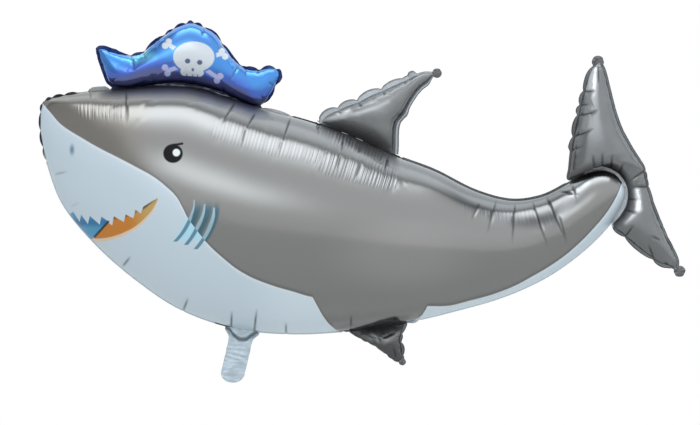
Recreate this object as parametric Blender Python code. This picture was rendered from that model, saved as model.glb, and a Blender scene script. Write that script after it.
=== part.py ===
# Foil balloon in the shape of a shark that wears a cocked hat.
# Two printed foil sheets, mirror images of each other, are welded together in the plane Y = 0.
# The welds part them into five gas chambers: body, hat, dorsal fin, tail fin and ventral fin.
# Each chamber here is a left and a right panel, thin bowls that close on a flat welded rim.
# X runs from the nose (-X) to the tail (+X), Z is up, and the shark's left side faces -Y.
# Units are metres. Tables are in millimetres.

import math

import bmesh
import bpy
from mathutils import Vector

MM = 0.001

# Driving dimensions
FILM = 2.0 * MM  # wall of every panel, standing in for film of 0.05 mm
WELD = 1.0 * MM  # thickness of the flat welded rims
GAP = 0.3 * MM  # clearance between pieces that rest on each other
BODY_RIM = 4.0 * MM  # width of the rim round the body
SEAM = WELD / 2 + GAP  # height of a panel's edge above the plane of the welds
CUTTER_DEPTH = 10 * MM  # thickness of the plates that cut the rims
PLAIN_STEP = 16 * MM  # spacing of the points along a plain rim
SCALLOP_STEP = 5 * MM  # and along a scalloped one
SCALLOP_ROUNDNESS = 0.7  # power of the sine that shapes a scallop, below 1 for full lobes
BASE_ARC_STEPS = 10  # facets along the bowed base of a fin
TAB_SEGMENTS = 28  # facets round a tip tab
OPEN_TRIES = 400  # places tried along a chamber to find where it can hold gas

# The loose filler neck at the belly, a flat sleeve of two films
NECK_HINGE = Vector((-43 * MM, 0, -209.45 * MM))  # on its hinge line, just below the body's rim
NECK_TOP = 0.9 * MM  # its root edge lies this far above the hinge line, so that it clears the rim
NECK_TILT = math.radians(9.5)  # the neck leans towards the nose
NECK_LENGTH = 84 * MM
NECK_WIDTH = 39 * MM
NECK_FLARE = 8 * MM  # extra width on each side at the root
NECK_FLARE_LENGTH = 12 * MM
NECK_FILM = 0.55 * MM

# Each row is a section across a chamber:
# the seam point on side A (x, z), the seam point on side B (x, z), half the thickness there,
# and how far the section bows upwards between its two seam points.
BODY_SECTIONS = (
    (-370, 170, -370, 170, 0, 0),
    (-352, 177, -374, 150, 13, 0),
    (-326, 182, -373, 114, 29, 0),
    (-291, 187, -362, 67, 49, 0),
    (-247, 190, -337, 2, 73, 0),
    (-191, 195, -286, -61, 97, 0),
    (-128, 194, -221, -119, 117, 0),
    (-63, 176, -143, -171, 130, 0),
    (0, 156, -53, -202, 135, 0),
    (66, 138, 40, -211, 133, 0),
    (135, 114, 135, -206, 125, 0),
    (206, 82, 226, -193, 111, 0),
    (273, 57, 308, -174, 93, 0),
    (339, 24, 387, -151, 75, 0),
    (398, 8, 454, -121, 60, 0),
    (449, 14, 506, -86, 49, 0),
    (491, 34, 545, -51, 41, 0),
    (523, 52, 570, -21, 32, 0),
    (549, 58, 585, 5, 22, 0),
    (571, 51, 588, 24, 12, 0),
    (581, 38, 581, 38, 0, 0),
)
HAT_SECTIONS = (
    (-281, 256, -281, 256, 0, 0),
    (-271, 257, -273, 236, 8, 0),
    (-255, 252, -264, 218, 13, 0),
    (-233, 247, -254, 203, 18, 0),
    (-211, 248, -230, 197, 22, 0),
    (-193, 262, -199, 200, 28, 0),
    (-170, 280, -168, 201, 33, 0),
    (-148, 293, -143, 201, 36, 0),
    (-128, 299, -120, 199, 37, 0),
    (-109, 294, -97, 194, 36, 0),
    (-87, 281, -76, 187, 33, 0),
    (-71, 260, -58, 180, 28, 0),
    (-56, 239, -41, 174, 23, 0),
    (-36, 225, -24, 168, 19, 0),
    (-15, 222, -8, 170, 15, 0),
    (4, 225, 4, 183, 11, 0),
    (16, 221, 12, 197, 7, 0),
    (19, 211, 19, 211, 0, 0),
)
DORSAL_SECTIONS = (
    (86, 138, 204, 87, 0, 2),
    (97, 146, 205, 101, 14, 2),
    (116, 155, 205, 116, 21, 2),
    (148, 168, 208, 136, 23, 0),
    (173, 180, 220, 151, 20, 0),
    (205, 194, 233, 174, 15, 0),
    (233, 207, 247, 193, 9.5, 0),
    (255, 215, 264, 204, 5.5, 0),
    (272, 215, 272, 215, 0, 0),
)
TAIL_SECTIONS = (
    (545, 229, 545, 229, 0, 0),
    (553, 215, 531, 213, 8, 0),
    (562, 184, 519, 181, 14, 0),
    (570, 153, 512, 151, 19, 0),
    (580, 125, 505, 120, 24, 0),
    (590, 106, 500, 91, 27, 0),
    (598, 92, 497, 61, 28, 2),
    (605, 81, 496, 43, 26, 5),
    (611, 72, 522, 57, 24, 4),
    (616, 64, 549, 64, 20, 1),
    (619, 56, 574, 56, 15, 0),
    (621, 44, 587, 41, 12, 0),
    (624, 30, 593, 24, 11, 0),
    (629, 13, 591, 2, 13, 0),
    (634, -3, 580, -17, 16, 0),
    (642, -23, 568, -33, 18, 0),
    (649, -40, 584, -47, 18, 0),
    (656, -56, 601, -62, 16.5, 0),
    (663, -69, 620, -77, 13.5, 0),
    (669, -82, 639, -91, 9.5, 0),
    (673, -92, 657, -99, 5.5, 0),
    (673, -102, 673, -102, 0, 0),
)
VENTRAL_SECTIONS = (
    (143, -215, 221, -202, 0, 0),
    (155, -220, 218, -211, 6, 0),
    (170, -228, 217, -221, 8.5, 0),
    (184, -237, 219, -232, 8, 0),
    (196, -246, 219, -243, 6, 0),
    (206, -254, 219, -251, 3, 0),
    (216, -258, 216, -258, 0, 0),
)

# name, sections, sections after smoothing, facets from seam to seam, colour of the film,
# then the rim's width on side A and on side B: narrowest, widest and the pitch of its scallops
CHAMBERS = (
    ("body", BODY_SECTIONS, 40, 10, "silver", (4, 4, 0), (4, 4, 0)),
    ("hat", HAT_SECTIONS, 26, 8, "blue", (3.5, 5.5, 24), (4, 4, 0)),
    ("dorsal_fin", DORSAL_SECTIONS, 16, 7, "silver", (4, 11, 32), (4.5, 4.5, 0)),
    ("tail_fin", TAIL_SECTIONS, 34, 7, "silver", (4, 4, 0), (4, 9, 30)),
    ("ventral_fin", VENTRAL_SECTIONS, 10, 6, "silver", (3.5, 3.5, 0), (3.5, 7, 24)),
)

# Round tabs at the fins' tips: name, chamber, centre x and z, radius
TIP_TABS = (
    ("dorsal_tip_tab", "dorsal_fin", 280, 218, 8),
    ("tail_upper_tip_tab", "tail_fin", 545, 239.5, 9),
    ("tail_lower_tip_tab", "tail_fin", 680, -109, 9),
    ("ventral_tip_tab", "ventral_fin", 223, -258, 6),
)
TAB_THICK = 1.6 * MM

# Principled BSDF settings: base colour, metallic, roughness
FILMS = {
    "silver": ((0.34, 0.33, 0.32, 1), 0.9, 0.30),
    "blue": ((0.02, 0.16, 0.72, 1), 0.9, 0.22),
    "white": ((0.62, 0.68, 0.72, 1), 0.2, 0.38),
}


def clear_scene():
    for obj in list(bpy.data.objects):
        bpy.data.objects.remove(obj, do_unlink=True)


def film_material(name):
    colour, metallic, roughness = FILMS[name]
    material = bpy.data.materials.get(name) or bpy.data.materials.new(name)
    material.use_nodes = True
    shader = material.node_tree.nodes["Principled BSDF"]
    shader.inputs["Base Color"].default_value = colour
    shader.inputs["Metallic"].default_value = metallic
    shader.inputs["Roughness"].default_value = roughness
    return material


def add_object(name, bm, film, parent=None):
    # Turns a bmesh into an object of the scene, with its faces pointing out
    bmesh.ops.remove_doubles(bm, verts=bm.verts, dist=1e-6)
    bmesh.ops.recalc_face_normals(bm, faces=bm.faces)
    mesh = bpy.data.meshes.new(name)
    bm.to_mesh(mesh)
    bm.free()
    mesh.shade_smooth()
    mesh.set_sharp_from_angle(angle=math.radians(40))
    obj = bpy.data.objects.new(name, mesh)
    obj.data.materials.append(film_material(film))
    bpy.context.scene.collection.objects.link(obj)
    obj.parent = parent
    return obj


def as_cutter(obj):
    obj.hide_render = True
    obj.display_type = "WIRE"
    return obj


def cut(obj, cutter):
    modifier = obj.modifiers.new("cut_" + cutter.name, "BOOLEAN")
    modifier.operation = "DIFFERENCE"
    modifier.object = cutter


def smooth_row(table, place):
    # Catmull-Rom curve through every column of a section table, in metres.
    # place 0 is the first section of the table, 1 the last.
    last = len(table) - 1
    k = min(int(place * last), last - 1)
    t = place * last - k
    before, start, end, after = (table[min(max(k + d, 0), last)] for d in (-1, 0, 1, 2))
    return [
        MM * 0.5 * (2 * p1 + (p2 - p0) * t
                    + (2 * p0 - 5 * p1 + 4 * p2 - p3) * t**2
                    + (3 * p1 - p0 - 3 * p2 + p3) * t**3)
        for p0, p1, p2, p3 in zip(before, start, end, after)
    ]


def smooth_rows(table, count, first=0.0, last=1.0):
    return [smooth_row(table, first + (last - first) * k / count) for k in range(count + 1)]


def hollow_rows(table, count):
    # The sections wide and thick enough to hold gas between two films
    def is_open(place):
        row = smooth_row(table, place)
        return math.hypot(row[2] - row[0], row[3] - row[1]) > 4 * FILM and row[4] > 2 * FILM

    tried = [k / OPEN_TRIES for k in range(OPEN_TRIES + 1)]
    found = [place for place in tried if is_open(place)]
    return smooth_rows(table, count, found[0], found[-1])


def section_point(row, angle, inset=0.0):
    # A point of a section and the panel's height there.
    # Angle 0 is the seam on side A, pi the seam on side B. inset moves it inwards all round.
    a, b = Vector((row[0], 0, row[1])), Vector((row[2], 0, row[3]))
    along = (b - a).normalized() * inset
    share = (1 - math.cos(angle)) / 2
    point = (a + along).lerp(b - along, share)
    point.z += row[5] * 4 * share * (1 - share)
    return point, max(row[4] - inset, 0) * math.sin(angle)


def bowl(outer, inner, facets, side):
    # One panel: the outer and the inner face of the film, joined along the seam.
    # side is -1 for the left panel and 1 for the right.
    bm = bmesh.new()

    def line(row, inset, lift=1):
        verts = []
        for k in range(facets + 1):
            point, height = section_point(row, math.pi * k / facets, inset)
            point.y = side * (SEAM + lift * height)
            verts.append(bm.verts.new(point))
        return verts

    outside = [line(row, 0) for row in outer]
    inside = [line(row, FILM) for row in inner]
    start, end = line(inner[0], FILM, lift=0), line(inner[-1], FILM, lift=0)
    lines = outside + [end] + inside[::-1] + [start] + outside[:1]
    for low, high in zip(lines, lines[1:]):
        for k in range(facets):
            bm.faces.new((low[k], low[k + 1], high[k + 1], high[k]))
    for i in range(len(outer) - 1):
        for k in (0, facets):
            bm.faces.new((outside[i][k], outside[i + 1][k], inside[i + 1][k], inside[i][k]))
    return bm


def outline(rows):
    # The chamber's seam as one closed loop: (point, side letter, distance along that side)
    loop = []
    for letter, path in (("A", rows), ("B", rows[::-1])):
        column = 0 if letter == "A" else 2
        travelled = 0.0
        last = None
        for row in path:
            point = Vector((row[column], 0, row[column + 1]))
            if last is not None:
                travelled += (point - last).length
            last = point
            loop.append((point, letter, travelled))
    return [
        entry for k, entry in enumerate(loop)
        if (entry[0] - loop[k - 1][0]).length > 1e-6
    ]


def base_arc(row):
    # The bowed end of a chamber that starts on a weld instead of at a tip
    return [section_point(row, math.pi * k / BASE_ARC_STEPS)[0] for k in range(1, BASE_ARC_STEPS)]


def resampled(loop, step):
    # Points at an even spacing along a closed loop, each with its side letter and distance
    found = []
    for k, (point, letter, travelled) in enumerate(loop):
        after, _, _ = loop[(k + 1) % len(loop)]
        length = (after - point).length
        parts = max(1, round(length / step))
        for part in range(parts):
            share = part / parts
            found.append((point.lerp(after, share), letter, travelled + share * length))
    return found


def rim_width(letter, travelled, side_a, side_b):
    narrow, wide, pitch = (value * MM for value in (side_a if letter == "A" else side_b))
    if pitch == 0:
        return narrow
    return narrow + (wide - narrow) * abs(math.sin(math.pi * travelled / pitch)) ** SCALLOP_ROUNDNESS


def grown(loop, width_of):
    # The loop moved outwards by a width that may change along it
    points = [entry[0] for entry in loop]
    count = len(points)
    area = sum(
        points[k - 1].x * points[k].z - points[k].x * points[k - 1].z for k in range(count)
    )
    turn = 1 if area > 0 else -1
    moved = []
    for k, (point, letter, travelled) in enumerate(loop):
        along = (points[(k + 1) % count] - points[k - 1]).normalized()
        outward = Vector((along.z, 0, -along.x)) * turn
        moved.append(point + outward * width_of(letter, travelled))
    return moved


def plate(points, thickness):
    # A flat plate with that outline, centred on the plane of the welds
    bm = bmesh.new()
    verts = [bm.verts.new((p.x, -thickness / 2, p.z)) for p in points]
    face = bm.faces.new(verts)
    made = bmesh.ops.extrude_face_region(bm, geom=[face])
    lifted = [item for item in made["geom"] if isinstance(item, bmesh.types.BMVert)]
    bmesh.ops.translate(bm, verts=lifted, vec=(0, thickness, 0))
    return bm


def seam_loop(rows, step):
    # The seam loop of a chamber, with its bowed base if it starts on a weld
    loop = outline(rows)
    first = rows[0]
    if math.hypot(first[2] - first[0], first[3] - first[1]) > FILM:
        arc = [(point, "base", 0.0) for point in reversed(base_arc(first))]
        loop += arc
    return resampled(loop, step)


def hole_points(inner):
    # The outline inside a rim, where the panels' film ends
    side_a = [section_point(row, 0, FILM)[0] for row in inner]
    side_b = [section_point(row, math.pi, FILM)[0] for row in reversed(inner)]
    return side_a + side_b


def chamber(name, table, count, facets, film, side_a, side_b, balloon):
    # The two panels of a chamber and the rim between them. Returns the rim.
    outer, inner = smooth_rows(table, count), hollow_rows(table, count)
    for side, label in ((-1, "left"), (1, "right")):
        add_object(f"{name}_{label}_panel", bowl(outer, inner, facets, side), film, balloon)

    def width_of(letter, travelled):
        if letter == "base":
            return side_b[0] * MM
        return rim_width(letter, travelled, side_a, side_b)

    is_plain = side_a[2] == side_b[2] == 0
    loop = seam_loop(outer, PLAIN_STEP if is_plain else SCALLOP_STEP)
    rim_plate = plate(grown(loop, width_of), WELD)
    rim = add_object(f"{name}_seam_rim", rim_plate, film, balloon)
    hole = plate(hole_points(inner), CUTTER_DEPTH)
    cut(rim, as_cutter(add_object(f"{name}_hole", hole, film)))
    return rim


def weld_line_cutter(rows):
    # Takes away whatever of a fin's rim would lie on the body's rim
    loop = seam_loop(rows, PLAIN_STEP)
    return plate(grown(loop, lambda letter, travelled: BODY_RIM + GAP), CUTTER_DEPTH)


def disc(name, centre, radius, thickness, film, parent=None):
    bm = bmesh.new()
    bmesh.ops.create_cone(
        bm, cap_ends=True, segments=TAB_SEGMENTS, radius1=radius, radius2=radius, depth=thickness
    )
    obj = add_object(name, bm, film, parent)
    obj.rotation_euler.x = math.pi / 2
    obj.location = centre
    return obj


def tip_tab(name, centre, radius, rim, balloon):
    disc(name, centre, radius, TAB_THICK, "silver", balloon)
    seat = disc(name + "_seat", centre, radius + GAP, CUTTER_DEPTH, "silver")
    cut(rim, as_cutter(seat))


def neck_outline():
    # The neck seen from the side, in its own frame: its hinge line at z = 0, the mouth below
    half = NECK_WIDTH / 2
    right = []
    flare_steps = 5
    for k in range(flare_steps + 1):
        share = k / flare_steps
        spread = NECK_FLARE * (1 - math.sin(share * math.pi / 2))
        right.append((half + spread, -NECK_FLARE_LENGTH * share))
    mouth_steps = 8
    mouth_radius = NECK_WIDTH * 0.42
    for k in range(mouth_steps + 1):
        turn = math.pi / 2 * k / mouth_steps
        right.append((
            half - mouth_radius * (1 - math.cos(turn)),
            -NECK_LENGTH + mouth_radius * (1 - math.sin(turn)),
        ))
    right[0] = (right[0][0], NECK_TOP)
    return right + [(-x, z) for x, z in reversed(right)]


def filler_neck():
    # Two flat films on an empty at the hinge line. The neck swings about the empty's X axis.
    hinge = bpy.data.objects.new("neck_hinge", None)
    bpy.context.scene.collection.objects.link(hinge)
    hinge.location = NECK_HINGE
    hinge.rotation_euler.y = NECK_TILT
    for side, label in ((-1, "left"), (1, "right")):
        points = [Vector((x, 0, z)) for x, z in neck_outline()]
        bm = plate(points, NECK_FILM)
        offset = side * (NECK_FILM + GAP) / 2
        bmesh.ops.translate(bm, verts=bm.verts, vec=(0, offset, 0))
        add_object(f"neck_{label}_film", bm, "white", hinge)


def build():
    clear_scene()
    balloon = bpy.data.objects.new("balloon", None)
    bpy.context.scene.collection.objects.link(balloon)
    rims = {row[0]: chamber(*row, balloon) for row in CHAMBERS}
    body_rows = smooth_rows(BODY_SECTIONS, CHAMBERS[0][2])
    weld_line = as_cutter(add_object("weld_line", weld_line_cutter(body_rows), "silver"))
    for name, rim in rims.items():
        if name != "body":
            cut(rim, weld_line)
    for name, owner, x, z, radius in TIP_TABS:
        tip_tab(name, Vector((x * MM, 0, z * MM)), radius * MM, rims[owner], balloon)
    filler_neck()


build()
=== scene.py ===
# Looks of the shark foil balloon: blown foil chambers, printed inks, welded edges and filler neck.
import math

import bmesh
import bpy
import numpy as np
from mathutils import Matrix, Vector, noise


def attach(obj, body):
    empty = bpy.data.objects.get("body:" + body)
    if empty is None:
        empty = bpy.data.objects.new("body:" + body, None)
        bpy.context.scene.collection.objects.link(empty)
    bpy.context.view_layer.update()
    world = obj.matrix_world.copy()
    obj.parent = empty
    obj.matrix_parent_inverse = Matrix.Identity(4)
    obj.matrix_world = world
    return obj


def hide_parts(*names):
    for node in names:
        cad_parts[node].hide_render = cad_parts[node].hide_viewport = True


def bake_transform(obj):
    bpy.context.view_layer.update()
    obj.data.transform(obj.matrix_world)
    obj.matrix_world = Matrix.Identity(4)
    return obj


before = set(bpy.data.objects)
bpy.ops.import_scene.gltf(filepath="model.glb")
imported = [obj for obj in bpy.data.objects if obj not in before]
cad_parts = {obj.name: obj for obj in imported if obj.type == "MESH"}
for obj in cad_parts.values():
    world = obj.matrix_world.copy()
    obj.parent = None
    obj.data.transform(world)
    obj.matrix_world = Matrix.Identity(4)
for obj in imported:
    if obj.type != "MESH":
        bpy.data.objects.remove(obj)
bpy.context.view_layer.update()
print("frame loaded:", len(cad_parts), "CAD nodes")

mm = 0.001
photo = {
    "size": (700, 425),        # pixels
    "origin": (268, 205),      # the pixel that shows the row frame's origin
    "pixel": 1070 / 650 * mm,  # size of one pixel in the plane of the welds
    "camera": 8.0,             # metres from the plane of the welds
}


def toPhoto(x, z):
    # metres in the plane of the welds to photo pixels
    return photo["origin"][0] + x / photo["pixel"], photo["origin"][1] - z / photo["pixel"]


def fromPhoto(px, py):
    return (px - photo["origin"][0]) * photo["pixel"], (photo["origin"][1] - py) * photo["pixel"]


def seenAt(points):
    # the pixel where the camera sees each point, and that pixel as a place on the print map
    nearer = photo["camera"] / (photo["camera"] + points[..., 1])
    (width, height), (px, py) = photo["size"], toPhoto(points[..., 0], points[..., 2])
    px, py = width / 2 + (px - width / 2) * nearer, height / 2 + (py - height / 2) * nearer
    return px, py, np.stack((px / width, 1 - py / height), axis=-1)


def splineWeights(count, places):
    # Catmull-Rom weights of count evenly numbered points at the given places
    first = np.clip(np.floor(places).astype(int), 0, count - 2)
    t = places - first
    shares = (-t + 2 * t**2 - t**3, 2 - 5 * t**2 + 3 * t**3, t + 4 * t**2 - 3 * t**3, -t**2 + t**3)
    weights = np.zeros((len(places), count))
    for offset, share in enumerate(shares):
        np.add.at(weights, (np.arange(len(places)), np.clip(first + offset - 1, 0, count - 1)), share / 2)
    return weights


def evenRows(table, count):
    # the sections of a chamber in metres, spaced evenly along its two seams
    table = np.array(table, float) * mm
    index = np.linspace(0, len(table) - 1, 1201)
    fine = splineWeights(len(table), index) @ table
    moved = np.diff(fine, axis=0)
    steps = np.hypot(moved[:, 0], moved[:, 1]) + np.hypot(moved[:, 2], moved[:, 3])
    travelled = np.concatenate(([0.0], np.cumsum(steps)))
    places = np.interp(np.linspace(0, travelled[-1], count), travelled, index)
    return splineWeights(len(table), places) @ table


def lengths(points):
    # distance travelled along a line of points
    steps = np.linalg.norm(np.diff(points, axis=0), axis=-1)
    return np.concatenate((np.zeros((1,) + steps.shape[1:]), np.cumsum(steps, axis=0)))


def pillow(rows, columns, fill, box):
    # the smooth shape of the left film between its two seams
    turn = np.pi * np.arange(columns + 1) / columns
    share = (1 - np.cos(turn)) / 2
    a, b = rows[:, None, 0:2], rows[:, None, 2:4]
    flat = a + (b - a) * share[None, :, None]
    height = flat[..., 1] + rows[:, None, 5] * 4 * share * (1 - share)
    depth = -np.maximum(rows[:, None, 4], 0) * fill * np.maximum(np.sin(turn), 0) ** box
    return np.stack((flat[..., 0], depth, height), axis=-1)


def outwards(film):
    # unit normals of a film's points, towards the outside
    along = np.gradient(film, axis=0)
    across = np.gradient(film, axis=1)
    normal = np.cross(along, across)
    normal /= np.maximum(np.linalg.norm(normal, axis=-1, keepdims=True), 1e-12)
    return normal * (-1 if normal[..., 1].sum() > 0 else 1)


def foldsAlong(length, wish, dice):
    # uneven small folds along a seam: place, depth, reach, lean
    found, s = [], wish["pitch"] * 0.4
    while s < length:
        found.append((
            s, wish["depth"] * dice.uniform(0.35, 1.2), wish["reach"] * dice.uniform(0.45, 1.4),
            dice.uniform(-0.5, 0.5) * wish["lean"],
        ))
        s += wish["pitch"] * dice.uniform(0.6, 1.45)
    return found


def pulledIn(folds, s, d, width):
    # how far the film is drawn in at distance d from a seam, at s along it
    pulled = np.zeros(np.broadcast(s, d).shape)
    for place, depth, reach, lean in folds:
        off = np.abs(s - place - lean * d) / (width * (0.7 + 0.5 * d / reach))
        pulled += depth * np.exp(-off**1.5) * np.clip(1 - d / reach, 0, 1) ** 0.8
    return pulled


def scored(px, py, lines, width):
    # the sharp creases at each point, as a depth and as a core of painted shade: two pixels and a depth in mm
    cut, core = np.zeros(px.shape), np.zeros(px.shape)
    for x0, y0, x1, y1, depth in lines:
        ex, ey = x1 - x0, y1 - y0
        t = np.clip(((px - x0) * ex + (py - y0) * ey) / (ex * ex + ey * ey), 0, 1)
        off = np.hypot(px - x0 - t * ex, py - y0 - t * ey)
        fade = np.clip(5 * t + 0.4, 0, 1) * np.clip(2.2 * (1 - t), 0, 1)
        cut = np.maximum(cut, depth * mm * np.exp(-(off / width) ** 1.5) * fade)
        core = np.maximum(core, min(depth, 1) * np.exp(-(off / 0.95) ** 2) * fade)
    return cut, core


def wavy(x, y, z):
    return noise.noise(Vector((x, y, z)))


def softened(piece, levels):
    soft = piece.modifiers.new("smooth", "SUBSURF")
    soft.levels = soft.render_levels = levels


def placed(name, bm):
    # a finished bmesh as a smooth piece of the scene
    mesh = bpy.data.meshes.new(name)
    bm.to_mesh(mesh)
    bm.free()
    mesh.shade_smooth()
    piece = bpy.data.objects.new(name, mesh)
    bpy.context.scene.collection.objects.link(piece)
    return piece


def gridMesh(name, points, printed=None, seamed=None, creased=None):
    # a sheet of quads through an array of points, tips merged, with its two maps and the crease cores that
    # its material paints as shade
    rows, columns = points.shape[:2]
    bm = bmesh.new()
    made = bmesh.ops.create_grid(bm, x_segments=columns - 1, y_segments=rows - 1, size=1)
    home = np.array([vert.co for vert in made["verts"]])
    order = np.lexsort((home[:, 0], np.round(home[:, 1], 6)))
    flat = points.reshape(-1, 3)
    number = bm.verts.layers.int.new("number")
    dark = bm.verts.layers.float.new("crease")
    depths = np.zeros(rows * columns) if creased is None else creased.reshape(-1)
    verts = list(bm.verts)
    for k, which in enumerate(order):
        verts[which].co = flat[k]
        verts[which][number] = k
        verts[which][dark] = depths[k]
    maps = [(bm.loops.layers.uv.new(title), values.reshape(-1, 2))
            for title, values in (("print", printed), ("seam", seamed)) if values is not None]
    for face in bm.faces:
        for loop in face.loops:
            for layer, values in maps:
                loop[layer].uv = values[loop.vert[number]]
    bmesh.ops.remove_doubles(bm, verts=bm.verts, dist=0.02 * mm)
    bmesh.ops.recalc_face_normals(bm, faces=bm.faces)
    if sum(face.normal.y * face.calc_area() for face in bm.faces) > 0:
        bmesh.ops.reverse_faces(bm, faces=bm.faces)
    return placed(name, bm)


foilCloth = {
    "quality": 8, "mass": 0.15, "air_damping": 2.0,
    "tension_stiffness": 40.0, "compression_stiffness": 40.0, "shear_stiffness": 20.0,
    "bending_stiffness": 0.2, "use_pressure": True,
}


def inflate(name, start, pinned, wish):
    # gas pressure on a film that is cut a little larger than its outline, so that it puckers
    trial = gridMesh(name + "Trial", start)
    numbers = np.array([item.value for item in trial.data.attributes["number"].data])
    hold = trial.vertex_groups.new(name="pinned")
    hold.add([k for k, at in enumerate(numbers) if pinned.reshape(-1)[at]], 1.0, "REPLACE")
    cloth = trial.modifiers.new("gas", "CLOTH")
    cloth.settings.vertex_group_mass = "pinned"
    own = {"uniform_pressure_force": wish["pressure"], "shrink_min": -wish["slack"]}
    for setting, value in {**foilCloth, **own}.items():
        setattr(cloth.settings, setting, value)
    cloth.settings.effector_weights.gravity = 0
    cloth.collision_settings.use_collision = False
    cloth.point_cache.frame_start, cloth.point_cache.frame_end = 1, wish["frames"]
    for step in range(1, wish["frames"] + 1):
        bpy.context.scene.frame_set(step)
    blown = trial.evaluated_get(bpy.context.evaluated_depsgraph_get())
    shape = np.array([vert.co for vert in blown.data.vertices])
    bpy.data.objects.remove(trial)
    bpy.context.scene.frame_set(1)
    film = start.copy().reshape(-1, 3)
    moved = shape - film[numbers]
    far = np.linalg.norm(moved, axis=1, keepdims=True)
    film[numbers] += moved * np.minimum(1, wish["cap"] / np.maximum(far, 1e-9))
    film[:, 1] = np.minimum(film[:, 1], 0)
    return film.reshape(start.shape)


def alongSeams(rows):
    # distance travelled along each of the two seams
    return [lengths(rows[:, 0:2]), lengths(rows[:, 2:4])]


def fromSeams(film):
    # distance over the film from each of the two seams
    toA = lengths(film.transpose(1, 0, 2)).T
    return [toA, toA[:, -1:] - toA]


def foldedAt(film, runs, folds, width):
    # how far the folds of both seams draw the film in
    pairs = zip(folds, runs, fromSeams(film))
    return sum(pulledIn(found, run[:, None], far, width) for found, run, far in pairs)


deepestFold = 0.3  # as a share of the film's width
trialFold = 1.6    # how much wider the folds are on the film that is blown up
fineFold = 0.7     # how much of the folds is pressed into the finished film
secondSeam = 3     # metres at which the seam map starts on side B of a film


def blowChamber(name, wish):
    # both films of a chamber from its sections: the left film, its points, its seams and their folds
    dice = np.random.default_rng(wish["seed"])
    columns, box = wish["columns"], wish.get("box", 1.0)
    coarse = evenRows(wish["sections"], wish["rows"][0])
    runs = alongSeams(coarse)
    folds = [foldsAlong(run[-1], wish["folds"], dice) for run in runs]
    film = smooth = pillow(coarse, columns[0], 1.0, box)
    start = pillow(coarse, columns[0], wish["fill"], box)
    drawn = foldedAt(start, runs, folds, wish["sharp"] * trialFold)
    drawn = np.minimum(drawn, deepestFold * fromSeams(start)[0][:, -1:])
    pinned = np.zeros(drawn.shape, bool)
    pinned[:, [0, -1]] = True
    pinned[0] |= bool(wish.get("base"))
    pinned[-1] |= True
    drawn[:, [0, -1]] = 0
    start -= outwards(start) * drawn[..., None]
    film = smooth + (inflate(name, start, pinned, wish) - smooth) * wish["blown"]

    fine = evenRows(wish["sections"], wish["rows"][1])
    rowWeights = splineWeights(len(coarse), np.linspace(0, len(coarse) - 1, len(fine)))
    columnWeights = splineWeights(columns[0] + 1, np.linspace(0, columns[0], columns[1] + 1))
    film = np.einsum("ri,ijk,cj->rck", rowWeights, film, columnWeights, optimize=True)
    film[..., 1] = np.minimum(film[..., 1], 0)
    film[:, [0, -1], 1] = 0
    runs = alongSeams(fine)
    toA, toB = fromSeams(film)
    px, py, printed = seenAt(film)
    cut, core = scored(px, py, wish["creases"], wish.get("creaseWidth", 1.3))
    drawn = foldedAt(film, runs, folds, wish["sharp"]) * fineFold + cut
    drawn = np.minimum(drawn, deepestFold * toA[:, -1:])
    normals = outwards(film)
    normals[:, [0, -1], 1] = 0
    if wish.get("base"):
        drawn[0] = 0
    film -= normals * drawn[..., None]
    near = toA < toB
    s = np.where(near, runs[0][:, None], runs[1][:, None] + secondSeam)
    seamed = np.stack((s, np.where(near, toA, toB)), axis=-1)
    left = gridMesh(name + "LeftFilm", film, printed, seamed, core)
    print(name, "blown:", len(left.data.polygons), "faces a side")
    return left, film, runs, folds


def mirrored(film, name):
    # the right film: the left one across the plane of the welds
    mesh = film.data.copy()
    mesh.name = name
    mesh.transform(Matrix.Diagonal((1, -1, 1, 1)))
    mesh.flip_normals()
    other = bpy.data.objects.new(name, mesh)
    bpy.context.scene.collection.objects.link(other)
    return other


def lobesAt(s, notches, dice, edge):
    # 0 at each notch and up to 1 between two, with a lean of its own for each lobe
    notches = np.array([-0.01, *sorted(notches), s.max() + 0.01])
    which = np.clip(np.searchsorted(notches, s, side="right") - 1, 0, len(notches) - 2)
    u = (s - notches[which]) / (notches[which + 1] - notches[which])
    size = dice.uniform(edge["least"], 1, len(notches))[which]
    lean = dice.uniform(-1, 1, len(notches))[which]
    return np.sin(np.pi * np.clip(u, 0, 1)) ** edge["round"] * size, lean


rim = {
    "steps": 6,             # points across the edge
    "under": 0.4 * mm,      # how far it reaches under the film
    "ripple": 0.5 * mm,
    "ripples": 170,         # noise waves in a metre
    "clearOfNotch": 8 * mm,
    "plainRipple": 0.2,     # how much of the ripple a plain stretch keeps
    "reach": 4,             # points to either side that the seam's direction is taken from
    "secondEdge": 5,        # metres at which the seam map starts on side B of an edge
}


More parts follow.
